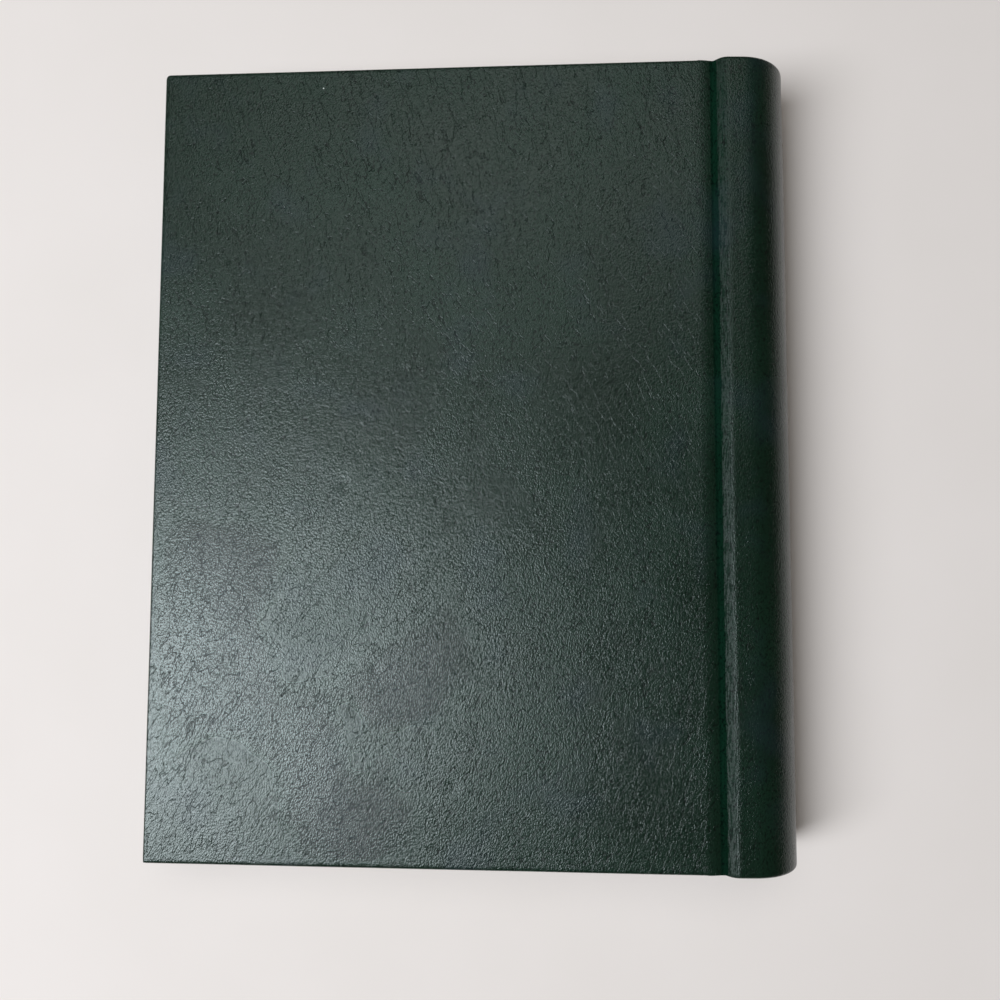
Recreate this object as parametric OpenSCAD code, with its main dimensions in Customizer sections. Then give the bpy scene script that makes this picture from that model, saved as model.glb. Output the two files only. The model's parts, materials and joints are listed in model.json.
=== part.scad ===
// Loose-leaf address book: a hard cover in three parts round a three-ring mechanism.
// It lies closed on its front cover, back cover up. +X points to the spine, +Y to the head
// of the book and +Z up. The origin is under the middle of the closed book.

/* [Cover] */
// Height of the cover, head to tail
cover_height = 229; // [210:1:260]
// Width of the closed book, fore-edge to the outside of the spine
book_width = 184; // [170:1:200]
// Thickness over the spine
spine_thickness = 30; // [29.5:0.1:31]
// How far the boards sit below the crown of the spine, at the joints
board_drop = 2; // [1.5:0.1:2.2]
// Thickness of the stiff boards in the two covers
board_thickness = 2.2; // [1.8:0.1:2.4]
// Thickness of the moulded spine board
spine_board_thickness = 2; // [1.6:0.1:2.2]
// Thickness of the bonded leather
leather_thickness = 0.6; // [0.4:0.05:0.7]
// Thickness of the paper lining
lining_thickness = 0.3; // [0.2:0.05:0.3]
// Width of the leather turned in over the inside of a board
turn_in = 15; // [10:1:20]
// Bare edge that the lining leaves along a board
lining_margin = 4; // [3:0.5:6]

/* [Spine] */
// Length of the straight crown between the half-round back and the shoulder
crown_length = 4.8; // [4:0.1:6]
// Width of the sloping shoulder, from the crown down to the joint
shoulder_width = 4.5; // [4:0.1:5]
// Radius that blends the shoulder into the crown
shoulder_radius = 5; // [4:0.5:5.5]
// Width of the bare leather joint between a board and the shoulder
joint_width = 3; // [2.8:0.1:3.2]
// How far the joint's leather is sunk below the board beside it
joint_depth = 0.55; // [0.5:0.05:0.6]

/* [Pages] */
// Height of a sheet, head to tail
sheet_height = 216; // [200:1:218]
// Width of a sheet, binding edge to fore-edge
sheet_width = 140; // [130:1:142]
// Thickness of the stack of sheets
stack_thickness = 13; // [12.5:0.1:13.1]
// Diameter of the punched holes, with the play that the loose sheets take up
hole_diameter = 7.7; // [7.5:0.1:8]
// Distance from a hole's centre to the binding edge
hole_margin = 8; // [7.5:0.1:8.5]
// Height of the stack's underside above the table, where it hangs on the rings
stack_lift = 8.2; // [8.1:0.05:8.4]
// How far the index tabs stand out past the sheets
tab_length = 10; // [8:0.5:12]
// Number of index tabs down the fore-edge
tab_count = 12; // [8:1:13]
// Thickness of an index tab
tab_thickness = 0.4; // [0.3:0.05:0.5]

/* [Rings] */
// Distance between two rings
ring_spacing = 69.85; // [60:0.05:72]
// Inside diameter of the rings
ring_bore = 15.8; // [15.6:0.1:16]
// Diameter of the ring wire
ring_wire = 2; // [1.8:0.1:2.1]
// Distance from the rings' centre to the outside of the spine
ring_setback = 17; // [16.8:0.1:17.2]
// Distance from the rings' centre out to the centre of the sheets' holes
hole_offset = 7.15; // [7.1:0.05:7.3]
// Gap between the two tips of a closed ring
tip_gap = 0.35; // [0.35:0.05:0.5]

/* [Mechanism] */
// Length of the arched cover plate
plate_length = 190; // [188:1:192]
// Width of the arched cover plate
plate_width = 18; // [17.5:0.1:18.2]
// Height of the plate's arch
plate_arch = 3.8; // [3.6:0.1:4]
// Distance from the plate's crown to the outside of the spine
plate_setback = 10.8; // [10.7:0.05:10.9]
// Thickness of the sheet steel
steel_thickness = 0.8; // [0.7:0.05:0.8]
// Width of one hinged blade under the plate
blade_width = 6.8; // [6.6:0.1:6.9]
// Half the gap between the two blades
blade_gap = 0.2; // [0.2:0.05:0.3]
// Depth of the blades under the plate's crown
blade_depth = 3.4; // [3.3:0.05:3.5]
// Free play between the blades' ends and the levers' ears
blade_end_play = 0.5; // [0.3:0.1:1]
// Distance from the blades' meeting line to a ring's foot
foot_offset = 3.2; // [3:0.1:3.4]
// Distance from the blades' meeting line to the start of a ring's slot in the plate
slot_offset = 1.6; // [1.4:0.1:1.8]
// Length of a ring's slot in the plate, across the book's thickness
slot_length = 5.6; // [5.4:0.1:5.8]
// Distance from the plate's end out to a lever's pin
lever_overhang = 3; // [2.5:0.1:3.5]
// Depth of the lever pins under the plate's crown
pin_depth = 3.6; // [3.4:0.05:3.7]
// Diameter of the lever pins
pin_diameter = 2; // [1.8:0.1:2.1]
// Width of a lever's thumb pad
lever_width = 8; // [7:0.5:8.5]
// Length of a lever's arm, from its pin to the face of its pad
lever_arm = 7.5; // [7:0.1:8]
// Length of a lever's pad, outwards along the book
pad_length = 5; // [4:0.5:6]
// Thickness of a lever's sheet
lever_thickness = 1.4; // [1.2:0.1:1.6]
// Distance from the plate's end in to each rivet
rivet_inset = 9; // [8:0.5:10]
// Diameter of a rivet's shank
rivet_diameter = 3; // [2.6:0.1:3.2]
// Diameter of a rivet's head
rivet_head = 6; // [5:0.5:6.5]

/* [Hidden] */

$fn = 96;
overshoot = 1;
running_gap = 0.3;
seat_gap = 0.1;

half_width = book_width / 2;
half_height = cover_height / 2;
mid_z = spine_thickness / 2;
spine_radius = spine_thickness / 2;
spine_x = half_width - spine_radius;
crown_x = spine_x - crown_length;
foot_x = crown_x - shoulder_width;
board_x = foot_x - joint_width;
hinge_x = foot_x - joint_width / 2;
board_z = spine_thickness - board_drop;
hinge_z = board_z - joint_depth;
shoulder_angle = atan((spine_thickness - hinge_z) / shoulder_width);
shoulder_x = crown_x + shoulder_radius * tan(shoulder_angle / 2);
shoulder_z = spine_thickness - shoulder_radius;

span = half_width + board_x;
edge_thickness = board_thickness + 2 * leather_thickness;
cover_thickness = edge_thickness + lining_thickness;
front_slope = atan(board_drop / span);
front_length = (span - edge_thickness * sin(front_slope)) / cos(front_slope);

channel_radius = spine_radius - leather_thickness - spine_board_thickness;
arm_end_x = foot_x + 0.8 * spine_board_thickness;

ring_x = half_width - ring_setback;
ring_radius = (ring_bore + ring_wire) / 2;
ring_places = [ring_spacing, 0, -ring_spacing];

hole_x = ring_x - hole_offset;
binding_x = hole_x + hole_margin;
sheet_fore_x = binding_x - sheet_width;
stack_bed_z = board_drop * (sheet_fore_x + half_width) / span + cover_thickness + seat_gap;
stack_tilt = atan((stack_lift - stack_bed_z) / (hole_x - sheet_fore_x));

// The back cover lies on the stack's upper fore-edge, and its slope follows from that.
stack_edge_x = sheet_fore_x - stack_thickness * sin(stack_tilt);
stack_edge_z = stack_bed_z + stack_thickness * cos(stack_tilt);
edge_reach = board_x - stack_edge_x;
edge_drop = board_z - stack_edge_z - seat_gap;
back_slope = acos(cover_thickness / norm([edge_drop, edge_reach])) - atan(edge_reach / edge_drop);
back_length = span / cos(back_slope);

plate_crown_x = half_width - plate_setback;
plate_radius = (pow(plate_width / 2, 2) + pow(plate_arch, 2)) / (2 * plate_arch);
plate_centre_x = plate_crown_x + plate_radius;
blade_x = plate_crown_x + blade_depth;
foot_angle = asin(foot_offset / ring_radius);
pivot_x = blade_x + steel_thickness / 2;
pivot_offset = blade_gap + blade_width;
ear_root = 2;
ear_length = ear_root + lever_overhang + pin_diameter;
ear_depth = pin_diameter + 1.6;
ear_offset = lever_width / 2 + running_gap;
pin_x = plate_crown_x + pin_depth;
lever_position = plate_length / 2 + lever_overhang;
rivet_position = plate_length / 2 - rivet_inset;
rivet_end_x = half_width - leather_thickness - seat_gap;

// Draws a section in X and Z and runs it along the book's height.
module along_height(length) {
    rotate([90, 0, 0])
        linear_extrude(height = length, center = true)
            children();
}

// Runs its children again on the other side of the book's middle plane.
module both_sides() {
    children();
    translate([0, 0, spine_thickness]) mirror([0, 0, 1]) children();
}

// Half of the spine's outline, above the middle plane, moved in by a distance.
module hump_half(inset) {
    reach = shoulder_radius - inset;
    tangent_x = shoulder_x - reach * sin(shoulder_angle);
    tangent_z = shoulder_z + reach * cos(shoulder_angle);
    translate([shoulder_x, shoulder_z]) circle(r = reach);
    polygon([
        [foot_x - overshoot, mid_z],
        [spine_x, mid_z],
        [spine_x, spine_thickness - inset],
        [shoulder_x, spine_thickness - inset],
        [tangent_x, tangent_z],
        [foot_x - overshoot, tangent_z - (tangent_x - foot_x + overshoot) * tan(shoulder_angle)]
    ]);
}

module hump(inset) {
    translate([spine_x, mid_z]) circle(r = spine_radius - inset);
    hump_half(inset);
    translate([0, spine_thickness]) mirror([0, 1]) hump_half(inset);
}

// The U-shaped space inside the spine board.
module channel(inset) {
    radius = channel_radius - inset;
    translate([spine_x, mid_z]) circle(r = radius);
    translate([foot_x - overshoot, mid_z - radius])
        square([spine_x - foot_x + overshoot, 2 * radius]);
}

module keep_right_of(x) {
    intersection() {
        children();
        translate([x, -overshoot]) square([book_width, spine_thickness + 2 * overshoot]);
    }
}

// Shanks of the two rivets, or the bores for them, from a place in front of the plate
// to one under the spine's leather.
module rivet_shanks(x_from, x_to) {
    for (end = [-1, 1])
        translate([x_from, end * rivet_position, mid_z])
            rotate([0, 90, 0])
                cylinder(d = rivet_diameter, h = x_to - x_from);
}

module rivet_bores() {
    rivet_shanks(plate_crown_x - overshoot, half_width);
}

module spine_board() {
    color("dimgray")
        difference() {
            along_height(cover_height - 2 * leather_thickness)
                keep_right_of(arm_end_x)
                    difference() {
                        hump(leather_thickness);
                        channel(0);
                    }
            rivet_bores();
        }
}

// The joint's strip starts clear of the hinge line and runs into the shoulder.
module spine_leather() {
    strip_start_x = hinge_x + leather_thickness + running_gap;
    strip_end_x = foot_x + leather_thickness / 2;
    color("darkslategray") {
        along_height(cover_height)
            keep_right_of(foot_x)
                difference() {
                    hump(0);
                    hump(leather_thickness);
                }
        both_sides()
            translate([strip_start_x, -half_height, hinge_z - leather_thickness])
                cube([strip_end_x - strip_start_x, cover_height, leather_thickness]);
    }
}

module spine_lining() {
    color("wheat")
        difference() {
            along_height(cover_height - 2 * lining_margin)
                keep_right_of(arm_end_x)
                    difference() {
                        channel(0);
                        channel(lining_thickness);
                    }
            rivet_bores();
        }
}

// A box along a board: from its joint edge at x = 0 out to -X, with its outer face at z = 0.
module board_box(x_from, x_to, inset, z_top, thickness) {
    height = cover_height - 2 * inset;
    translate([x_from, -height / 2, z_top - thickness])
        cube([x_to - x_from, height, thickness]);
}

module board_body(length) {
    board_box(leather_thickness - length, -leather_thickness, leather_thickness,
        -leather_thickness, board_thickness);
}

// Leather over the face and round three edges, turned in over the inside.
module leather_wrap(length) {
    inside_z = -leather_thickness - board_thickness;
    difference() {
        board_box(-length, 0, 0, 0, edge_thickness);
        board_body(length);
        board_box(turn_in - length, overshoot, turn_in, inside_z + overshoot / 2,
            leather_thickness + overshoot);
        board_box(-leather_thickness, overshoot, -overshoot, -2 * leather_thickness,
            edge_thickness);
    }
}

// The lining fills the window between the turn-ins and laps over them.
module lining_sheet(length) {
    inside_z = -leather_thickness - board_thickness;
    board_box(turn_in - length, -leather_thickness, turn_in, inside_z, leather_thickness);
    board_box(lining_margin - length, -leather_thickness, lining_margin,
        inside_z - leather_thickness, lining_thickness);
}

// The strip of leather that bends at a joint; its rounded end turns about the hinge line.
module joint_strip() {
    overlap = leather_thickness / 2;
    along_height(cover_height) {
        translate([board_x - overlap, hinge_z - leather_thickness])
            square([hinge_x - board_x + overlap, leather_thickness]);
        intersection() {
            translate([hinge_x, hinge_z]) circle(r = leather_thickness);
            translate([hinge_x, hinge_z - leather_thickness]) square(leather_thickness);
        }
    }
}

module place_back() {
    translate([board_x, 0, board_z]) rotate([0, -back_slope, 0]) children();
}

module place_front() {
    translate([board_x, 0, board_drop])
        rotate([0, -front_slope, 0])
            mirror([0, 0, 1])
                children();
}

module back_cover_board() {
    color("gray") place_back() board_body(back_length);
}

module back_cover_leather() {
    color("darkslategray") {
        place_back() leather_wrap(back_length);
        joint_strip();
    }
}

module back_cover_lining() {
    color("wheat") place_back() lining_sheet(back_length);
}

module front_cover_board() {
    color("gray") place_front() board_body(front_length);
}

module front_cover_leather() {
    color("darkslategray") {
        place_front() leather_wrap(front_length);
        translate([0, 0, spine_thickness]) mirror([0, 0, 1]) joint_strip();
    }
}

module front_cover_lining() {
    color("wheat") place_front() lining_sheet(front_length);
}

// The stack hangs on the rings at the spine and lies on the front cover at the fore-edge.
module place_stack() {
    translate([sheet_fore_x, 0, stack_bed_z]) rotate([0, -stack_tilt, 0]) children();
}

module pages() {
    color("ivory")
        place_stack()
            difference() {
                translate([0, -sheet_height / 2, 0])
                    cube([sheet_width, sheet_height, stack_thickness]);
                for (y = ring_places)
                    translate([sheet_width - hole_margin, y, -overshoot])
                        cylinder(d = hole_diameter, h = stack_thickness + 2 * overshoot);
            }
}

// One tab for each divider, stepped down the fore-edge from the head and the back.
module index_tabs() {
    pitch_y = sheet_height / tab_count;
    pitch_z = (stack_thickness - tab_thickness) / (tab_count + 1);
    color("khaki")
        place_stack()
            for (i = [0 : tab_count - 1])
                translate([-tab_length, sheet_height / 2 - (i + 1) * pitch_y, (i + 1) * pitch_z])
                    cube([tab_length, pitch_y, tab_thickness]);
}

module plate_arc(radius) {
    translate([plate_centre_x, mid_z]) circle(r = radius);
}

// The arched steel plate, slotted for the rings, with two ears at each end for a lever.
module ring_plate() {
    ear_x = plate_crown_x + plate_arch - 1.2 * pin_diameter;
    color("silver")
        difference() {
            union() {
                along_height(plate_length)
                    intersection() {
                        difference() {
                            plate_arc(plate_radius);
                            plate_arc(plate_radius - steel_thickness);
                        }
                        translate([plate_crown_x - overshoot, mid_z - plate_width])
                            square([plate_arch + overshoot - seat_gap, 2 * plate_width]);
                    }
                for (end = [-1, 1])
                    both_sides()
                        translate([
                            ear_x,
                            end * (plate_length / 2 - ear_root + ear_length / 2) - ear_length / 2,
                            mid_z + ear_offset
                        ])
                            cube([ear_depth, ear_length, steel_thickness]);
            }
            for (y = ring_places)
                both_sides()
                    translate([plate_crown_x - overshoot, y - ring_wire, mid_z + slot_offset])
                        cube([plate_arch + 2 * overshoot, 2 * ring_wire, slot_length]);
            for (end = [-1, 1])
                translate([pin_x, end * lever_position, mid_z])
                    cylinder(d = pin_diameter, h = plate_width, center = true);
            rivet_bores();
        }
}

// Domed rivets through the plate, closed in the spine board under the leather.
module plate_rivets() {
    head_height = 1;
    color("silver") {
        rivet_shanks(plate_crown_x, rivet_end_x);
        for (end = [-1, 1])
            translate([plate_crown_x - head_height, end * rivet_position, mid_z])
                rotate([0, 90, 0])
                    cylinder(d1 = rivet_diameter, d2 = rivet_head, h = head_height);
    }
}

// A flat blade with slots round the rivets; its outer edge turns in the plate's rim.
module blade() {
    blade_length = plate_length - 2 * ear_root - 2 * blade_end_play;
    slot = 2 * rivet_diameter;
    difference() {
        translate([blade_x, -blade_length / 2, mid_z + blade_gap])
            cube([steel_thickness, blade_length, blade_width]);
        for (end = [-1, 1])
            translate([blade_x - overshoot, end * rivet_position, mid_z])
                rotate([0, 90, 0])
                    cylinder(d = slot, h = steel_thickness + 2 * overshoot);
    }
}

module upper_blade() {
    color("gainsboro") blade();
}

module lower_blade() {
    color("gainsboro") translate([0, 0, spine_thickness]) mirror([0, 0, 1]) blade();
}

// Half a ring, from its foot on the blade round to its tip, at a place along the book.
module half_ring(y) {
    tip_angle = 180 - asin(tip_gap / 2 / ring_radius);
    foot_x = ring_x + ring_radius * cos(foot_angle);
    translate([ring_x, y, mid_z])
        rotate([90, 0, 0])
            rotate([0, 0, foot_angle])
                rotate_extrude(angle = tip_angle - foot_angle)
                    translate([ring_radius, 0]) circle(d = ring_wire);
    translate([foot_x, y, mid_z + foot_offset]) {
        sphere(d = ring_wire);
        rotate([0, 90, 0]) cylinder(d = ring_wire, h = blade_x - foot_x);
    }
}

module upper_ring(place) {
    color("silver") half_ring(ring_places[place]);
}

module lower_ring(place) {
    color("silver")
        translate([0, 0, spine_thickness])
            mirror([0, 0, 1])
                half_ring(ring_places[place]);
}

module upper_ring_head() upper_ring(0);
module upper_ring_middle() upper_ring(1);
module upper_ring_tail() upper_ring(2);
module lower_ring_head() lower_ring(0);
module lower_ring_middle() lower_ring(1);
module lower_ring_tail() lower_ring(2);

// The thumb lever at one end: a hub on the pin, a curved arm and a pad.
module lever() {
    arm = lever_thickness;
    hub = 2 * pin_diameter;
    color("silver")
        translate([pin_x, lever_position, mid_z - lever_width / 2])
            difference() {
                union() {
                    cylinder(d = hub, h = lever_width);
                    translate([-lever_arm, -arm / 2, 0]) cube([lever_arm, arm, lever_width]);
                    translate([-lever_arm, -arm / 2, 0]) cube([arm, pad_length, lever_width]);
                    translate([arm / 2 - lever_arm, pad_length - arm / 2, 0])
                        cylinder(d = arm, h = lever_width);
                }
                translate([0, 0, -overshoot])
                    cylinder(d = pin_diameter + 0.1, h = lever_width + 2 * overshoot);
            }
}

module head_lever() {
    lever();
}

module tail_lever() {
    mirror([0, 1, 0]) lever();
}

module lever_pin() {
    color("silver")
        translate([pin_x, lever_position, mid_z])
            cylinder(d = pin_diameter, h = 2 * (ear_offset + steel_thickness), center = true);
}

module head_lever_pin() {
    lever_pin();
}

module tail_lever_pin() {
    mirror([0, 1, 0]) lever_pin();
}

spine_board();
spine_leather();
spine_lining();
back_cover_board();
back_cover_leather();
back_cover_lining();
front_cover_board();
front_cover_leather();
front_cover_lining();
pages();
index_tabs();
ring_plate();
plate_rivets();
upper_blade();
lower_blade();
upper_ring_head();
upper_ring_middle();
upper_ring_tail();
lower_ring_head();
lower_ring_middle();
lower_ring_tail();
head_lever();
tail_lever();
head_lever_pin();
tail_lever_pin();
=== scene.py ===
import json
import math

import bmesh
import bpy
from mathutils import Matrix, Vector, noise


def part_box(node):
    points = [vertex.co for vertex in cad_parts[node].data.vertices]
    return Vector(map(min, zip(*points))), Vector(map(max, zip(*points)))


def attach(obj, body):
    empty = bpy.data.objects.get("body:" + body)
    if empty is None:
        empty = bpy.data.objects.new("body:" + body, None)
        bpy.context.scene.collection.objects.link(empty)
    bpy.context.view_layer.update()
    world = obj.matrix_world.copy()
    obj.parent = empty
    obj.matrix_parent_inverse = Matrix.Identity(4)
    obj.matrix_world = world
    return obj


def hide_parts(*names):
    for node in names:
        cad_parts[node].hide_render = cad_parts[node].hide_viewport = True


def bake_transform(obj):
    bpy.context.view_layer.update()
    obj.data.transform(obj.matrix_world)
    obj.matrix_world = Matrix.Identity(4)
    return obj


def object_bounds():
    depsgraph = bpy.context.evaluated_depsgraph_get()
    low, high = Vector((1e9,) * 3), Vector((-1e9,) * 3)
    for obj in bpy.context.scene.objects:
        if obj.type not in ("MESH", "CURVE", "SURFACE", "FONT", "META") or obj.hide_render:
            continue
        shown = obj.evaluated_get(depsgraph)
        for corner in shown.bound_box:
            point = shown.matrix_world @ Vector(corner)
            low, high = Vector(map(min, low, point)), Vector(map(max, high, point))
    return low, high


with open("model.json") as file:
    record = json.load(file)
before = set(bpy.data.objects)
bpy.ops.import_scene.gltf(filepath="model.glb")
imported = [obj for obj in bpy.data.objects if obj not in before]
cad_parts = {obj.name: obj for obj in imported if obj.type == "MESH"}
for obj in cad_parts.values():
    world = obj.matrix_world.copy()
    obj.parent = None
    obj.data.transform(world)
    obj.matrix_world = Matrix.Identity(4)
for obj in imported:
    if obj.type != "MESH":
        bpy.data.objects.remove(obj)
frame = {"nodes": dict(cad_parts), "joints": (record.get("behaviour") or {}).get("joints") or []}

cad_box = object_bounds()
MM = 0.001


# Camera, window light and table
# The book is seen from almost straight above, and close enough for its thick spine to lean out.
# One large soft window stands to the lower left, and the table top is pale and plain.
def hex_colour(code):
    parts = [int(code[i:i + 2], 16) / 255 for i in (0, 2, 4)]
    return tuple(c / 12.92 if c <= 0.04045 else ((c + 0.055) / 1.055) ** 2.4 for c in parts) + (1.0,)


def add_node(tree, kind, settings, inputs):
    """Adds a node with its settings, and sets or links its inputs by name or number."""
    node = tree.nodes.new(kind)
    for name, value in settings.items():
        setattr(node, name, value)
    for key, value in inputs.items():
        if isinstance(value, bpy.types.NodeSocket):
            tree.links.new(value, node.inputs[key])
        else:
            node.inputs[key].default_value = value
    return node


def new_material(name):
    """A material with an empty tree but for its shader, and Object coordinates in millimetres."""
    material = bpy.data.materials.new(name)
    material.use_nodes = True
    tree = material.node_tree
    tree.nodes.clear()
    shader = add_node(tree, "ShaderNodeBsdfPrincipled", {}, {})
    add_node(tree, "ShaderNodeOutputMaterial", {}, {"Surface": shader.outputs["BSDF"]})
    place = add_node(tree, "ShaderNodeTexCoord", {}, {})
    ruler = add_node(tree, "ShaderNodeMapping", {},
                     {"Vector": place.outputs["Object"], "Scale": (1 / MM, 1 / MM, 1 / MM)})
    return material, tree, shader, ruler.outputs["Vector"]


camera_data = bpy.data.cameras.new("camera")
camera_data.sensor_width = 36
camera_data.lens = 30.76
camera = bpy.data.objects.new("camera", camera_data)
camera.location = (8.0 * MM, -29.1 * MM, 264.6 * MM)
camera.rotation_euler = (math.radians(3.92), 0, math.radians(0.16))
bpy.context.collection.objects.link(camera)
bpy.context.scene.camera = camera
bpy.context.scene.view_settings.view_transform = "Standard"


def soft_lamp(name, place, width, length, power, colour):
    data = bpy.data.lights.new(name, "AREA")
    data.shape = "ELLIPSE"
    data.size = width
    data.size_y = length
    data.energy = power
    data.color = hex_colour(colour)[:3]
    lamp = bpy.data.objects.new(name, data)
    lamp.location = place
    lamp.rotation_euler = (-Vector(place)).to_track_quat("-Z", "Y").to_euler()
    bpy.context.collection.objects.link(lamp)


soft_lamp("window", (-1.06, -0.4, 1.52), 0.8, 1.6, 43, "F6F7FF")
soft_lamp("pale_wall", (-0.3, 1.12, 2.15), 2.1, 1.0, 8.4, "FBFAFC")

world = bpy.data.worlds.new("room")
bpy.context.scene.world = world
world.use_nodes = True
tree = world.node_tree
tree.nodes.clear()
ray = add_node(tree, "ShaderNodeLightPath", {}, {})
dim_room = add_node(tree, "ShaderNodeBackground", {}, {"Color": hex_colour("E8CDAE"), "Strength": 0.065})
backdrop = add_node(tree, "ShaderNodeBackground", {}, {"Color": hex_colour("DDDAD5"), "Strength": 1.0})
seen = add_node(tree, "ShaderNodeMixShader", {},
                {0: ray.outputs["Is Camera Ray"], 1: dim_room.outputs[0], 2: backdrop.outputs[0]})
add_node(tree, "ShaderNodeOutputWorld", {}, {"Surface": seen.outputs[0]})

table_reach = 1.5
table_mesh = bpy.data.meshes.new("table")
table_corners = [(x * table_reach, y * table_reach, 0) for x, y in ((-1, -1), (1, -1), (1, 1), (-1, 1))]
table_mesh.from_pydata(table_corners, [], [(0, 1, 2, 3)])
table = bpy.data.objects.new("table", table_mesh)
bpy.context.collection.objects.link(table)

# Matt emulsion paint: nearly white, faintly cloudy.
table_paint, tree, shader, ruler = new_material("matt_table_paint")
cloud = add_node(tree, "ShaderNodeTexNoise", {}, {"Vector": ruler, "Scale": 0.02, "Detail": 3.0})
tint = add_node(tree, "ShaderNodeMix", {"data_type": "RGBA"},
                {0: cloud.outputs[0], 6: hex_colour("E2DED6"), 7: hex_colour("E8E4DD")})
tree.links.new(tint.outputs[2], shader.inputs["Base Color"])
shader.inputs["Roughness"].default_value = 0.7
shader.inputs["Specular IOR Level"].default_value = 0.2
table_mesh.materials.append(table_paint)


# Cover leather
# Bonded leather 0.6 mm thick, embossed with a pebble grain, is glued over both boards and the
# spine in one sheet and turned in over their edges. It bends at the two sunk joints. The sheet
# is made as two pieces that meet in the front joint, because each bends at one hinge.
leather_thickness = 0.6
board_thickness = 2.2
spine_board_thickness = 2.0
turn_in = 15.0
joint_width = 3.0
joint_fall_start = 0.7
groove_offset = 1.1
groove_bend = 0.35
shoulder_length = 5.0
crown_length = 4.8
board_drop = 2.0
arm_start = 1.6
edge_thickness = board_thickness + 2 * leather_thickness
doubled_thickness = 2 * leather_thickness + 0.05
spine_edge_thickness = spine_board_thickness + leather_thickness + 0.02

half_width = cad_box[1].x / MM
half_height = cad_box[1].y / MM
thickness = cad_box[1].z / MM
back_hinge = next(joint for joint in frame["joints"] if joint["name"] == "back_cover_hinge")
hinge_x = back_hinge["pos_m"][0] / MM
hinge_z = back_hinge["pos_m"][2] / MM
foot_x = hinge_x + joint_width / 2
board_x = hinge_x - joint_width / 2
board_z = thickness - board_drop
spine_radius = thickness / 2
spine_x = half_width - spine_radius
crown_x = spine_x - crown_length
groove_x = foot_x + groove_offset
shoulder_x = groove_x + shoulder_length
back_edge_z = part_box("back_cover_leather")[0].z / MM + edge_thickness
front_edge_z = thickness
edge_inset = 1.5
cell = 2.0


def smooth(value, start, end):
    part = min(max((value - start) / (end - start), 0), 1)
    return part * part * (3 - 2 * part)


def leather_height(x, edge_z):
    """Height of the leather's outer face over a board, a joint and a shoulder."""
    if x > shoulder_x:
        return thickness
    board_line = edge_z + (board_z - edge_z) * (x + half_width) / (board_x + half_width)
    fall_start = board_x - joint_fall_start
    fall = min(max((x - fall_start) / (groove_x - fall_start), 0), 1) ** 1.7
    dip = board_line * (1 - fall) + hinge_z * fall
    shoulder = thickness - (thickness - hinge_z) * ((shoulder_x - x) / shoulder_length) ** 3
    bend = groove_bend * max(1 - abs(x - groove_x) / 1.5, 0)
    return (dip + shoulder + math.hypot(shoulder - dip, bend)) / 2


def rim_thickness(x):
    """Thickness of the cover at its head and tail: board, bare joint, then spine board."""
    arm_x = foot_x + arm_start
    if x < hinge_x:
        return edge_thickness + (doubled_thickness - edge_thickness) * smooth(x, board_x - 1.1, board_x)
    return doubled_thickness + (spine_edge_thickness - doubled_thickness) * smooth(x, arm_x - 0.8, arm_x)


def half_section(edge_z):
    """Places across the cover, from near the fore-edge to the spine's outermost line."""
    xs = []
    x = edge_inset - half_width
    while x < board_x - 2 * cell:
        xs.append(x)
        x += cell
    stretches = ((x, board_x - 1.2, 0.8), (board_x - 1.2, groove_x - 0.5, 0.3),
                 (groove_x - 0.5, groove_x + 0.5, 0.15), (groove_x + 0.5, shoulder_x, 0.45),
                 (shoulder_x, spine_x, 1.2))
    for start, end, step in stretches:
        count = math.ceil((end - start) / step)
        xs += [start + (end - start) * i / count for i in range(count)]
    section = [(x, leather_height(x, edge_z), rim_thickness(x)) for x in xs]
    arc_steps = 20
    for i in range(arc_steps + 1):
        angle = math.pi / 2 * (1 - i / arc_steps)
        section.append((spine_x + spine_radius * math.cos(angle),
                        spine_radius + spine_radius * math.sin(angle), spine_edge_thickness))
    return section


def rim_profile(rim):
    """Steps of the turned-in edge as (inset from the edge, depth under the outer face)."""
    outer = min(0.9, rim / 2)
    inner = min(0.7, rim / 2)
    angles = [math.pi / 8 * i for i in range(5)]
    steps = [(outer - outer * math.sin(a), outer - outer * math.cos(a)) for a in angles]
    steps.append((0, (outer + rim - inner) / 2))
    steps += [(inner - inner * math.cos(a), rim - inner + inner * math.sin(a)) for a in angles]
    return steps + [(inset, rim) for inset in (edge_inset, 4, 9, turn_in)]


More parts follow.
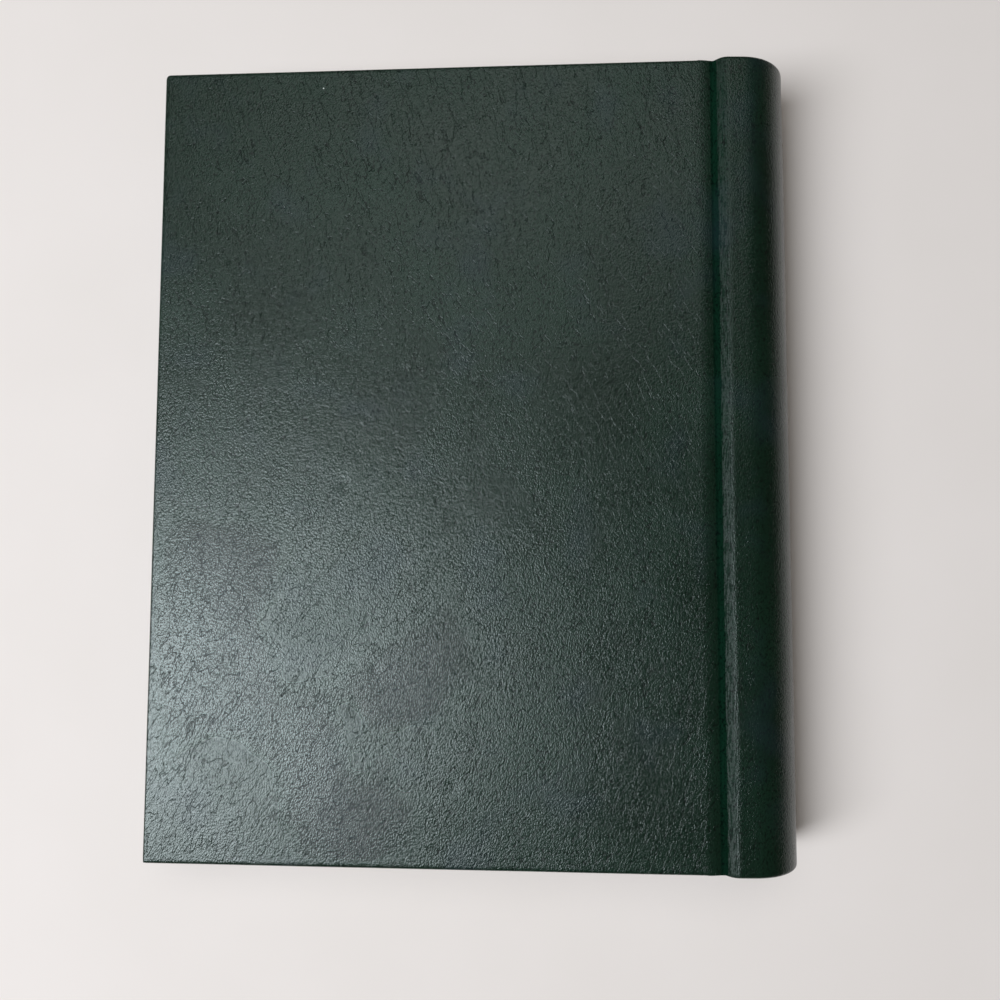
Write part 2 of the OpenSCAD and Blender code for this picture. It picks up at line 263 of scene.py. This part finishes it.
def cover_piece(name, section, outward, corner_squareness):
    """Wraps a section along the book's height and turns its edge in on three sides."""
    stations = []
    for i, (x, z, rim) in enumerate(section):
        before = section[max(i - 1, 0)]
        after = section[min(i + 1, len(section) - 1)]
        run = Vector((after[0] - before[0], 0, after[1] - before[1])).normalized()
        up = Vector((-run.z, 0, run.x)) * outward
        stations.append((Vector((x, 0, z)), run, up, rim))
    rows = round((2 * (half_height - edge_inset)) / cell)
    reach = half_height - edge_inset
    wave_depth = 0.07
    long_wave = 34
    short_wave = 12

    def unevenness(point):
        wave = noise.noise(point / long_wave) + 0.5 * noise.noise(point / short_wave + Vector((7, 3, 1)))
        return wave_depth * (1 + wave)

    mesh = bmesh.new()

    def corner(base, up, depth):
        return mesh.verts.new((base - up * (depth + unevenness(base))) * MM)

    grid = [[corner(place + Vector((0, reach * (2 * j / rows - 1), 0)), up, 0) for j in range(rows + 1)]
            for place, run, up, rim in stations]
    last = len(stations) - 1
    fan = [math.radians(15 * i) for i in range(7)]
    loop = [(i, -reach, (0, -1), stations[i][0].x + half_width, grid[i][0]) for i in range(last, -1, -1)]
    for side, order in ((-1, fan), (1, fan[::-1])):
        square = corner_squareness[0] if side < 0 else corner_squareness[1]
        for a in order:
            stretch = (1 / max(math.sin(a), math.cos(a))) ** square
            direction = (-math.sin(a) * stretch, side * math.cos(a) * stretch)
            loop.append((0, side * reach, direction, edge_inset, grid[0][0 if side < 0 else rows]))
        if side < 0:
            loop += [(0, reach * (2 * j / rows - 1), (-1, 0), half_height - reach * abs(2 * j / rows - 1),
                      grid[0][j]) for j in range(rows + 1)]
    loop += [(i, reach, (0, 1), stations[i][0].x + half_width, grid[i][rows]) for i in range(last + 1)]

    rings = [[vertex for *_, vertex in loop]]
    for step in range(len(rim_profile(edge_thickness))):
        ring = []
        for i, y, (along, across), room, vertex in loop:
            place, run, up, rim = stations[i]
            inset, depth = rim_profile(rim)[step]
            out = edge_inset - min(inset, max(room, edge_inset))
            run = run if run.x > 0 else -run
            base = place + run * (along * out) + Vector((0, y + across * out, 0))
            ring.append(corner(base, up, depth))
        rings.append(ring)

    for i in range(last):
        for j in range(rows):
            mesh.faces.new((grid[i][j], grid[i + 1][j], grid[i + 1][j + 1], grid[i][j + 1]))
    for inner, outer in zip(rings, rings[1:]):
        for k in range(len(loop) - 1):
            face = [inner[k], inner[k + 1], outer[k + 1], outer[k]]
            kept = [v for n, v in enumerate(face) if v is not face[n - 1]]
            if len(kept) > 2:
                mesh.faces.new(kept)
    bmesh.ops.remove_doubles(mesh, verts=mesh.verts, dist=0.002 * MM)
    if outward < 0:
        bmesh.ops.reverse_faces(mesh, faces=mesh.faces)
    data = bpy.data.meshes.new(name)
    mesh.to_mesh(data)
    mesh.free()
    data.polygons.foreach_set("use_smooth", [True] * len(data.polygons))
    piece = bpy.data.objects.new(name, data)
    bpy.context.collection.objects.link(piece)
    wall = piece.modifiers.new("wall", "SOLIDIFY")
    wall.thickness = leather_thickness * MM
    wall.offset = -1
    return piece


back_half = half_section(back_edge_z)
front_half = [(x, thickness - z, rim) for x, z, rim in half_section(front_edge_z)]
seam = next(i for i, (x, z, rim) in enumerate(front_half) if x > foot_x + 0.8)
back_leather = cover_piece("back_leather", back_half + front_half[-2:seam - 1:-1], 1, (0.8, 0.1))
front_leather = cover_piece("front_leather", front_half[:seam + 1], -1, (0.8, 0.1))

# Bonded leather: dark bottle-green, embossed with wrinkled pebbles about half a millimetre across
# and with longer creases. Its satin coat catches the window as a broad sheen broken by the grain.
bonded_leather, tree, shader, ruler = new_material("embossed_bonded_leather")
pebble = 0.52
wrinkle = 0.62
grain_drift = 0.6
grain_drift_length = 1.5
grain_lean = -14
drift = add_node(tree, "ShaderNodeTexNoise", {},
                 {"Vector": ruler, "Scale": 1 / grain_drift_length, "Detail": 2.0})
centred = add_node(tree, "ShaderNodeVectorMath", {"operation": "SUBTRACT"},
                   {0: drift.outputs["Color"], 1: (0.5, 0.5, 0.5)})
bent = add_node(tree, "ShaderNodeVectorMath", {"operation": "MULTIPLY_ADD"},
                {0: centred.outputs[0], 1: (grain_drift,) * 3, 2: ruler})
drawn = add_node(tree, "ShaderNodeMapping", {"vector_type": "TEXTURE"},
                 {"Vector": bent.outputs[0], "Rotation": (0, 0, math.radians(grain_lean)),
                  "Scale": (0.9, 1.3, 1.0)})
pebbles = add_node(tree, "ShaderNodeTexVoronoi", {"feature": "F1"},
                   {"Vector": drawn.outputs[0], "Scale": 1 / pebble})
wrinkles = add_node(tree, "ShaderNodeTexNoise", {},
                    {"Vector": drawn.outputs[0], "Scale": 1 / wrinkle, "Detail": 2.0, "Roughness": 0.6})
folded = add_node(tree, "ShaderNodeMath", {"operation": "PINGPONG"}, {0: wrinkles.outputs[0], 1: 0.5})
relief = add_node(tree, "ShaderNodeMath", {"operation": "MULTIPLY_ADD"},
                  {0: pebbles.outputs["Distance"], 1: -0.8, 2: 1.0})
relief = add_node(tree, "ShaderNodeMath", {"operation": "MULTIPLY_ADD"},
                  {0: folded.outputs[0], 1: 1.6, 2: relief.outputs[0]})
pit_shade_mask = add_node(tree, "ShaderNodeMapRange", {"interpolation_type": "SMOOTHSTEP"},
                {"Value": pebbles.outputs["Distance"], "From Min": 0.5, "From Max": 0.95})

# Longer creases lean one way towards the tail of the cover and the other way towards its head.
crease_size = (2.6, 10, 4)
crease_share = 0.014
lean = add_node(tree, "ShaderNodeSeparateXYZ", {}, {0: ruler})
crease_sum = None
for angle, y_low, y_high in ((-28, 20.0, -50.0), (24, -40.0, 40.0)):
    turned = add_node(tree, "ShaderNodeMapping", {"vector_type": "TEXTURE"},
                      {"Vector": bent.outputs[0], "Rotation": (0, 0, math.radians(angle)),
                       "Scale": crease_size})
    streak = add_node(tree, "ShaderNodeTexNoise", {},
                      {"Vector": turned.outputs[0], "Scale": 1.0, "Detail": 1.5})
    away = add_node(tree, "ShaderNodeMath", {"operation": "SUBTRACT"}, {0: streak.outputs[0], 1: 0.5})
    away = add_node(tree, "ShaderNodeMath", {"operation": "ABSOLUTE"}, {0: away.outputs[0]})
    line = add_node(tree, "ShaderNodeMapRange", {"interpolation_type": "SMOOTHSTEP"},
                    {"Value": away.outputs[0], "From Min": 0.0, "From Max": crease_share, "To Min": 1.0,
                     "To Max": 0.0})
    where = add_node(tree, "ShaderNodeMapRange", {},
                     {"Value": lean.outputs["Y"], "From Min": y_low, "From Max": y_high})
    part = add_node(tree, "ShaderNodeMath", {"operation": "MULTIPLY"},
                    {0: line.outputs[0], 1: where.outputs[0]})
    crease_sum = part if crease_sum is None else add_node(
        tree, "ShaderNodeMath", {"operation": "ADD", "use_clamp": True},
        {0: crease_sum.outputs[0], 1: part.outputs[0]})
depth = add_node(tree, "ShaderNodeMapRange", {},
                 {"Value": lean.outputs["X"], "From Min": board_x - 4, "From Max": groove_x, "To Min": -0.5,
                  "To Max": -0.1})
relief = add_node(tree, "ShaderNodeMath", {"operation": "MULTIPLY_ADD"},
                  {0: crease_sum.outputs[0], 1: depth.outputs[0], 2: relief.outputs[0]})

# The leather is stretched over the shoulders beside the joints, into fine creases along them, and
# is rubbed duller there.
stretch_start = add_node(tree, "ShaderNodeMapRange", {"interpolation_type": "SMOOTHSTEP"},
                         {"Value": lean.outputs["X"], "From Min": groove_x + 0.1,
                          "From Max": groove_x + 0.9})
stretch_end = add_node(tree, "ShaderNodeMapRange", {"interpolation_type": "SMOOTHSTEP"},
                       {"Value": lean.outputs["X"], "From Min": crown_x - 1.2, "From Max": crown_x + 1.0,
                        "To Min": 1.0, "To Max": 0.0})
stretch = add_node(tree, "ShaderNodeMath", {"operation": "MULTIPLY"},
                   {0: stretch_start.outputs[0], 1: stretch_end.outputs[0]})
along = add_node(tree, "ShaderNodeMapping", {"vector_type": "TEXTURE"},
                 {"Vector": ruler, "Scale": (0.45, 3.5, 0.8)})
fine = add_node(tree, "ShaderNodeTexNoise", {}, {"Vector": along.outputs[0], "Scale": 1.0, "Detail": 2.0})
pull = add_node(tree, "ShaderNodeMath", {"operation": "SUBTRACT"}, {0: fine.outputs[0], 1: 0.5})
pull = add_node(tree, "ShaderNodeMath", {"operation": "MULTIPLY"},
                {0: pull.outputs[0], 1: stretch.outputs[0]})
relief = add_node(tree, "ShaderNodeMath", {"operation": "MULTIPLY_ADD"},
                  {0: pull.outputs[0], 1: 4.5, 2: relief.outputs[0]})

# Dents from use, as (x, y, radius) on the back cover. They shape the surface, not the grain.
dents = ((-37, -8, 3.4), (-43, -71, 2.8), (-32, -72, 3.0), (-5, -92, 2.6), (-20, 24, 2.0), (-27, -60, 2.2))
dent_z = board_z - 4
dent_depth = 1.7
dented = relief
for x, y, radius in dents:
    away = add_node(tree, "ShaderNodeVectorMath", {"operation": "DISTANCE"}, {0: ruler, 1: (x, y, dent_z)})
    hollow = add_node(tree, "ShaderNodeMapRange", {"interpolation_type": "SMOOTHSTEP"},
                      {"Value": away.outputs["Value"], "From Min": 0.0, "From Max": radius + 1,
                       "To Min": -dent_depth, "To Max": 0.0})
    dented = add_node(tree, "ShaderNodeMath", {"operation": "ADD"},
                      {0: dented.outputs[0], 1: hollow.outputs[0]})
grain = add_node(tree, "ShaderNodeBump", {},
                 {"Height": dented.outputs[0], "Strength": 0.74, "Distance": 0.1 * MM})

# The dye is uneven in soft patches a few centimetres across. Pits and creases are painted darker, as painted
# shade where little light reaches them.
patch = add_node(tree, "ShaderNodeTexNoise", {}, {"Vector": ruler, "Scale": 1 / 30, "Detail": 2.0})
hide = add_node(tree, "ShaderNodeMix", {"data_type": "RGBA"},
                {0: patch.outputs[0], 6: hex_colour("07180F"), 7: hex_colour("0C2A1D")})
# Painted shade: the pits are mixed towards near-black in the colour.
shade = add_node(tree, "ShaderNodeMix", {"data_type": "RGBA"},
                 {0: pit_shade_mask.outputs[0], 6: hide.outputs[2], 7: hex_colour("05100B")})
# Painted shade: the creases are mixed towards near-black in the colour.
crease_shade = add_node(tree, "ShaderNodeMath", {"operation": "MULTIPLY"}, {0: crease_sum.outputs[0], 1: 0.6})
shade = add_node(tree, "ShaderNodeMix", {"data_type": "RGBA"},
                 {0: crease_shade.outputs[0], 6: shade.outputs[2], 7: hex_colour("040807")})

# Grey-blue soft patches are painted sheen, standing in for uneven reflections of the window, and a little
# white dust lies in single specks.
sheen_patch_noise = add_node(tree, "ShaderNodeTexNoise", {}, {"Vector": ruler, "Scale": 1 / 17, "Detail": 2.0})
painted_sheen_patches = add_node(tree, "ShaderNodeMapRange", {"interpolation_type": "SMOOTHSTEP"},
                 {"Value": sheen_patch_noise.outputs[0], "From Min": 0.5, "From Max": 0.75, "To Max": 0.35})
# Painted sheen: grey-blue patches are mixed into the colour in place of uneven reflections of the window.
shade = add_node(tree, "ShaderNodeMix", {"data_type": "RGBA"},
                 {0: painted_sheen_patches.outputs[0], 6: shade.outputs[2], 7: hex_colour("1C2A30")})
dust_spacing = 9.0
dust_size = 0.22
dust_share = 0.16
dust = add_node(tree, "ShaderNodeTexVoronoi", {}, {"Vector": ruler, "Scale": 1 / dust_spacing})
small = add_node(tree, "ShaderNodeMath", {"operation": "LESS_THAN"},
                 {0: dust.outputs["Distance"], 1: dust_size / dust_spacing})
chance = add_node(tree, "ShaderNodeSeparateColor", {}, {0: dust.outputs["Color"]})
rare = add_node(tree, "ShaderNodeMath", {"operation": "LESS_THAN"}, {0: chance.outputs[0], 1: dust_share})
speck = add_node(tree, "ShaderNodeMath", {"operation": "MULTIPLY"},
                 {0: small.outputs[0], 1: rare.outputs[0]})
shade = add_node(tree, "ShaderNodeMix", {"data_type": "RGBA"},
                 {0: speck.outputs[0], 6: shade.outputs[2], 7: hex_colour("C2CCC6")})
coat = add_node(tree, "ShaderNodeMapRange", {},
                {"Value": patch.outputs[0], "From Min": 0.3, "From Max": 0.7, "To Min": 0.23,
                 "To Max": 0.31})
coat = add_node(tree, "ShaderNodeMath", {"operation": "MULTIPLY_ADD"},
                {0: stretch.outputs[0], 1: 0.28, 2: coat.outputs[0]})

# Little light reaches the bottom of a pit, a crease or the joint's groove, so the sheen is weak
# there. An exported model keeps only the socket's own level.
sheen = add_node(tree, "ShaderNodeMapRange", {"interpolation_type": "SMOOTHSTEP"},
                 {"Value": relief.outputs[0], "From Min": 0.85, "From Max": 1.35, "To Min": 0.34,
                  "To Max": 0.6})
sheen = add_node(tree, "ShaderNodeMath", {"operation": "MULTIPLY_ADD"},
                 {0: stretch.outputs[0], 1: -0.22, 2: sheen.outputs[0]})
across = add_node(tree, "ShaderNodeMath", {"operation": "SUBTRACT"}, {0: lean.outputs["X"], 1: groove_x})
across = add_node(tree, "ShaderNodeMath", {"operation": "ABSOLUTE"}, {0: across.outputs[0]})
sunk = add_node(tree, "ShaderNodeMapRange", {"interpolation_type": "SMOOTHSTEP"},
                {"Value": across.outputs[0], "From Min": 0.5, "From Max": 1.1, "To Min": 1.0, "To Max": 0.0})
sheen = add_node(tree, "ShaderNodeMath", {"operation": "MULTIPLY_ADD", "use_clamp": True},
                 {0: sunk.outputs[0], 1: -0.7, 2: sheen.outputs[0]})
tree.links.new(shade.outputs[2], shader.inputs["Base Color"])
tree.links.new(coat.outputs[0], shader.inputs["Roughness"])
tree.links.new(sheen.outputs[0], shader.inputs["Specular IOR Level"])
shader.inputs["Specular IOR Level"].default_value = 0.5
tree.links.new(grain.outputs[0], shader.inputs["Normal"])
shader.inputs["Specular Tint"].default_value = hex_colour("F1FFFA")
shader.inputs["IOR"].default_value = 1.5

for piece in (back_leather, front_leather):
    piece.data.materials.append(bonded_leather)
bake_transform(back_leather)
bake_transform(front_leather)
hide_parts("back_cover_leather", "spine_leather")
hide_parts("front_cover_leather")


# Boards
# Grey millboard stiffens each cover, and a thinner one is moulded to a U for the spine. Only
# their cut edges at the joints ever show.

# Millboard: pressed grey pulp, rough and quite dull.
millboard, tree, shader, ruler = new_material("grey_millboard")
fibres = add_node(tree, "ShaderNodeTexNoise", {}, {"Vector": ruler, "Scale": 1 / 0.8, "Detail": 6.0})
pulp = add_node(tree, "ShaderNodeMix", {"data_type": "RGBA"},
                {0: fibres.outputs[0], 6: hex_colour("77726A"), 7: hex_colour("9A948A")})
felt = add_node(tree, "ShaderNodeBump", {},
                {"Height": fibres.outputs[0], "Strength": 0.3, "Distance": 0.1 * MM})
tree.links.new(pulp.outputs[2], shader.inputs["Base Color"])
tree.links.new(felt.outputs[0], shader.inputs["Normal"])
shader.inputs["Roughness"].default_value = 0.9


def finish_nodes(names, material):
    for name in names:
        for slot in frame["nodes"][name].material_slots:
            slot.material = material


finish_nodes(("back_cover_board", "front_cover_board", "spine_board"), millboard)


# Lining paper
# A sheet of dark green book paper is pasted over each board and the turned-in leather, and
# another over the inside of the spine.

# Laid paper: dull, softly clouded, with a fine fibrous tooth.
lining_paper, tree, shader, ruler = new_material("laid_lining_paper")
laid = add_node(tree, "ShaderNodeTexNoise", {}, {"Vector": ruler, "Scale": 1 / 0.5, "Detail": 5.0})
cloud = add_node(tree, "ShaderNodeTexNoise", {}, {"Vector": ruler, "Scale": 1 / 12, "Detail": 3.0})
blend = add_node(tree, "ShaderNodeMath", {"operation": "MULTIPLY"},
                 {0: laid.outputs[0], 1: cloud.outputs[0]})
dye = add_node(tree, "ShaderNodeMix", {"data_type": "RGBA"},
               {0: blend.outputs[0], 6: hex_colour("1C2B26"), 7: hex_colour("30443C")})
tooth = add_node(tree, "ShaderNodeBump", {},
                 {"Height": laid.outputs[0], "Strength": 0.25, "Distance": 0.05 * MM})
tree.links.new(dye.outputs[2], shader.inputs["Base Color"])
tree.links.new(tooth.outputs[0], shader.inputs["Normal"])
shader.inputs["Roughness"].default_value = 0.75
finish_nodes(("back_cover_lining", "front_cover_lining", "spine_lining"), lining_paper)


# Ring mechanism
# Three rings of two halves each stand on two hinged steel blades under an arched steel plate.
# Two rivets hold the plate to the spine board, and a pinned thumb lever at each end opens it.

# Nickel plate on steel: bright warm grey metal, slightly duller in patches where it was handled.
nickel, tree, shader, ruler = new_material("nickel_plated_steel")
wear = add_node(tree, "ShaderNodeTexNoise", {}, {"Vector": ruler, "Scale": 1 / 5, "Detail": 4.0})
dull = add_node(tree, "ShaderNodeMapRange", {}, {"Value": wear.outputs[0], "To Min": 0.16, "To Max": 0.32})
tree.links.new(dull.outputs[0], shader.inputs["Roughness"])
shader.inputs["Base Color"].default_value = hex_colour("C9C6BF")
shader.inputs["Metallic"].default_value = 1.0
mechanism = ["ring_plate", "plate_rivets", "upper_blade", "lower_blade", "head_lever", "tail_lever",
             "head_lever_pin", "tail_lever_pin"]
mechanism += [f"{half}_ring_{place}" for half in ("upper", "lower") for place in ("head", "middle", "tail")]
finish_nodes(mechanism, nickel)


# Sheets
# About a hundred loose sheets of ruled writing paper, punched with three holes, hang on the
# rings and lie on the front cover at the fore-edge. They are drawn as 26 leaves, each as thick
# as a few sheets, with the small unevenness of a hand-filled book.
sheet_width = 140.0
sheet_height = 216.0
stack_thickness = 13.0
hole_diameter = 7.7
hole_margin = 8.0
ring_spacing = 69.85
leaf_count = 26
leaf_gap = 0.04
sheet_corner = 4.0

pages_low, pages_high = (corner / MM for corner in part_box("pages"))
stack_tilt = math.asin((pages_high.z - pages_low.z - stack_thickness) / sheet_width)
stack_corner = Vector((pages_low.x + stack_thickness * math.sin(stack_tilt), 0, pages_low.z))


def arc_points(centre, radius, start, end, count):
    steps = [math.radians(start + (end - start) * i / count) for i in range(count + 1)]
    return [(centre[0] + radius * math.cos(a), centre[1] + radius * math.sin(a)) for a in steps]


def cut_sheet(name, outlines, sheet_thickness):
    """Cuts a flat sheet, standing on z = 0, to an outline and its holes."""
    curve = bpy.data.curves.new(name, "CURVE")
    curve.dimensions = "2D"
    curve.fill_mode = "BOTH"
    curve.extrude = sheet_thickness / 2 * MM
    for points in outlines:
        spline = curve.splines.new("POLY")
        spline.points.add(len(points) - 1)
        spline.use_cyclic_u = True
        for point, (x, y) in zip(spline.points, points):
            point.co = (x * MM, y * MM, 0, 1)
    drawing = bpy.data.objects.new(name, curve)
    bpy.context.collection.objects.link(drawing)
    mesh = bpy.data.meshes.new_from_object(drawing.evaluated_get(bpy.context.evaluated_depsgraph_get()))
    bpy.data.objects.remove(drawing)
    mesh.transform(Matrix.Translation((0, 0, sheet_thickness / 2 * MM)))
    flat = bmesh.new()
    flat.from_mesh(mesh)
    bmesh.ops.remove_doubles(flat, verts=flat.verts, dist=0.001 * MM)
    bmesh.ops.recalc_face_normals(flat, faces=flat.faces)
    flat.to_mesh(mesh)
    flat.free()
    mesh.materials.clear()
    pattern = bpy.data.objects.new(name, mesh)
    bpy.context.collection.objects.link(pattern)
    return pattern


def row_of(name, pattern, material, values):
    """Repeats a pattern along a straight row with Geometry Nodes, and returns one plain mesh."""
    tree = bpy.data.node_groups.new(name, "GeometryNodeTree")
    sockets = (("Pattern", "NodeSocketObject"), ("Count", "NodeSocketInt"), ("Step", "NodeSocketVector"),
               ("Shuffle", "NodeSocketVector"), ("Corner", "NodeSocketVector"), ("Tilt", "NodeSocketVector"),
               ("Finish", "NodeSocketMaterial"))
    ids = {label: tree.interface.new_socket(label, in_out="INPUT", socket_type=kind).identifier
           for label, kind in sockets}
    tree.interface.new_socket("Geometry", in_out="OUTPUT", socket_type="NodeSocketGeometry")
    given = tree.nodes.new("NodeGroupInput").outputs
    line = add_node(tree, "GeometryNodeMeshLine", {}, {"Count": given["Count"], "Offset": given["Step"]})
    jitter = add_node(tree, "FunctionNodeRandomValue", {"data_type": "FLOAT_VECTOR"},
                      {1: given["Shuffle"], "Seed": 11})
    moved = add_node(tree, "GeometryNodeSetPosition", {},
                     {"Geometry": line.outputs[0], "Offset": jitter.outputs[0]})
    shape = add_node(tree, "GeometryNodeObjectInfo", {}, {"Object": given["Pattern"]})
    copies = add_node(tree, "GeometryNodeInstanceOnPoints", {},
                      {"Points": moved.outputs[0], "Instance": shape.outputs["Geometry"]})
    placed = add_node(tree, "GeometryNodeTransform", {},
                      {"Geometry": copies.outputs[0], "Translation": given["Corner"],
                       "Rotation": given["Tilt"]})
    real = add_node(tree, "GeometryNodeRealizeInstances", {}, {"Geometry": placed.outputs[0]})
    faced = add_node(tree, "GeometryNodeSetMaterial", {},
                     {"Geometry": real.outputs[0], "Material": given["Finish"]})
    add_node(tree, "NodeGroupOutput", {}, {0: faced.outputs[0]})
    piece = bpy.data.objects.new(name, bpy.data.meshes.new(name))
    bpy.context.collection.objects.link(piece)
    row = piece.modifiers.new("row", "NODES")
    row.node_group = tree
    values = dict(values, Pattern=pattern, Finish=material)
    for label, value in values.items():
        row[ids[label]] = value
    made = bpy.data.meshes.new_from_object(piece.evaluated_get(bpy.context.evaluated_depsgraph_get()))
    piece.modifiers.remove(row)
    piece.data = made
    bpy.data.objects.remove(pattern)
    return piece


hole_x = sheet_width - hole_margin
half_sheet = sheet_height / 2
leaf_outline = (arc_points((sheet_corner, sheet_corner - half_sheet), sheet_corner, 180, 270, 6)
                + [(sheet_width, -half_sheet), (sheet_width, half_sheet)]
                + arc_points((sheet_corner, half_sheet - sheet_corner), sheet_corner, 90, 180, 6))
holes = [arc_points((hole_x, y), hole_diameter / 2, 0, 345, 23) for y in (-ring_spacing, 0, ring_spacing)]
leaf_step = stack_thickness / leaf_count
leaf = cut_sheet("leaf", [leaf_outline] + holes, leaf_step - leaf_gap)

# Uncoated writing paper: off-white, fibrous and dull, with printed pale blue rules.
paper, tree, shader, ruler = new_material("ruled_writing_paper")
rule_spacing = 7.1
rule_width = 0.22
fibre = add_node(tree, "ShaderNodeTexNoise", {}, {"Vector": ruler, "Scale": 1 / 0.6, "Detail": 3.0})
cream = add_node(tree, "ShaderNodeMix", {"data_type": "RGBA"},
                 {0: fibre.outputs[0], 6: hex_colour("DDD6C4"), 7: hex_colour("E9E4D6")})
place = add_node(tree, "ShaderNodeSeparateXYZ", {}, {0: ruler})
fold = add_node(tree, "ShaderNodeMath", {"operation": "PINGPONG"},
                {0: place.outputs["Y"], 1: rule_spacing / 2})
rule = add_node(tree, "ShaderNodeMath", {"operation": "LESS_THAN"}, {0: fold.outputs[0], 1: rule_width / 2})
facing = add_node(tree, "ShaderNodeNewGeometry", {}, {})
tilted = add_node(tree, "ShaderNodeSeparateXYZ", {}, {0: facing.outputs["Normal"]})
flatness = add_node(tree, "ShaderNodeMath", {"operation": "ABSOLUTE"}, {0: tilted.outputs["Z"]})
face = add_node(tree, "ShaderNodeMath", {"operation": "GREATER_THAN"}, {0: flatness.outputs[0], 1: 0.9})
inked = add_node(tree, "ShaderNodeMath", {"operation": "MULTIPLY"}, {0: rule.outputs[0], 1: face.outputs[0]})
print_colour = add_node(tree, "ShaderNodeMix", {"data_type": "RGBA"},
                        {0: inked.outputs[0], 6: cream.outputs[2], 7: hex_colour("9FB2C4")})
tooth = add_node(tree, "ShaderNodeBump", {},
                 {"Height": fibre.outputs[0], "Strength": 0.2, "Distance": 0.05 * MM})
tree.links.new(print_colour.outputs[2], shader.inputs["Base Color"])
tree.links.new(tooth.outputs[0], shader.inputs["Normal"])
shader.inputs["Roughness"].default_value = 0.85

leaves = row_of("leaves", leaf, paper,
                {"Count": leaf_count, "Step": (0, 0, leaf_step * MM), "Shuffle": (0.5 * MM, 0.4 * MM, 0),
                 "Corner": stack_corner * MM, "Tilt": (0, -stack_tilt, 0)})
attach(leaves, "spine")
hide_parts("pages")


# Index tabs
# Twelve tabs of buff card are glued to the dividers. They step down the fore-edge from the head,
# and each carries two letters of the alphabet, the last one four, printed on both sides.
tab_length = 10.0
tab_thickness = 0.4
tab_corner = 2.5
tab_gap = 0.3
tab_root = 0.3
tab_letters = ("AB", "CD", "EF", "GH", "IJ", "KL", "MN", "OP", "QR", "ST", "UV", "WXYZ")
letter_height = 5.0
ink_thickness = 0.03
tab_width = sheet_height / len(tab_letters)
tab_rise = (stack_thickness - tab_thickness) / (len(tab_letters) + 1)
tab_outline = ([(tab_root, tab_gap), (tab_root, tab_width - tab_gap)]
               + arc_points((tab_corner - tab_length, tab_width - tab_corner - tab_gap),
                            tab_corner, 90, 180, 6)
               + arc_points((tab_corner - tab_length, tab_corner + tab_gap), tab_corner, 180, 270, 6))
tab = cut_sheet("tab", [tab_outline], tab_thickness)

# Manila card: buff, smooth and slightly mottled.
card, tree, shader, ruler = new_material("manila_card")
mottle = add_node(tree, "ShaderNodeTexNoise", {}, {"Vector": ruler, "Scale": 1 / 1.5, "Detail": 5.0})
buff = add_node(tree, "ShaderNodeMix", {"data_type": "RGBA"},
                {0: mottle.outputs[0], 6: hex_colour("C9B27E"), 7: hex_colour("D8C595")})
tree.links.new(buff.outputs[2], shader.inputs["Base Color"])
shader.inputs["Roughness"].default_value = 0.6

stack_place = Matrix.Translation(stack_corner * MM) @ Matrix.Rotation(-stack_tilt, 4, "Y")
first_tab = stack_corner + Vector((0, half_sheet - tab_width, 0)) + Vector(
    (-math.sin(stack_tilt), 0, math.cos(stack_tilt))) * tab_rise
tabs = row_of("tabs", tab, card,
              {"Count": len(tab_letters), "Step": (0, -tab_width * MM, tab_rise * MM), "Shuffle": (0, 0, 0),
               "Corner": first_tab * MM, "Tilt": (0, -stack_tilt, 0)})
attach(tabs, "spine")
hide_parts("index_tabs")

# Printing ink: a thin dull black film with slightly uneven cover.
ink, tree, shader, ruler = new_material("black_printing_ink")
cover = add_node(tree, "ShaderNodeTexNoise", {}, {"Vector": ruler, "Scale": 1 / 0.4, "Detail": 2.0})
black = add_node(tree, "ShaderNodeMix", {"data_type": "RGBA"},
                 {0: cover.outputs[0], 6: hex_colour("1B1B1D"), 7: hex_colour("2A2A2C")})
tree.links.new(black.outputs[2], shader.inputs["Base Color"])
shader.inputs["Roughness"].default_value = 0.6

lettering = bmesh.new()
for number, label in enumerate(tab_letters):
    writing = bpy.data.curves.new(label, "FONT")
    writing.body = label
    writing.align_x = "CENTER"
    writing.align_y = "CENTER"
    writing.size = letter_height * MM
    writing.extrude = ink_thickness / 2 * MM
    writing.resolution_u = 3
    stand = bpy.data.objects.new(label, writing)
    bpy.context.collection.objects.link(stand)
    printed = bpy.data.meshes.new_from_object(stand.evaluated_get(bpy.context.evaluated_depsgraph_get()))
    bpy.data.objects.remove(stand)
    middle = (-tab_length / 2, half_sheet - tab_width * (number + 0.5), tab_rise * (number + 1))
    for side in (0, 1):
        level = middle[2] + tab_thickness * side
        turn = Matrix.Rotation(math.pi / 2, 4, "Z") if side else (
            Matrix.Rotation(math.pi, 4, "Y") @ Matrix.Rotation(-math.pi / 2, 4, "Z"))
        print_copy = printed.copy()
        spot = Matrix.Translation(Vector((middle[0], middle[1], level)) * MM)
        print_copy.transform(stack_place @ spot @ turn)
        lettering.from_mesh(print_copy)
        bpy.data.meshes.remove(print_copy)
bmesh.ops.remove_doubles(lettering, verts=lettering.verts, dist=0.001 * MM)
letter_mesh = bpy.data.meshes.new("tab_lettering")
lettering.to_mesh(letter_mesh)
lettering.free()
letter_mesh.materials.clear()
letter_mesh.materials.append(ink)
letters = bpy.data.objects.new("tab_lettering", letter_mesh)
bpy.context.collection.objects.link(letters)
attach(letters, "spine")
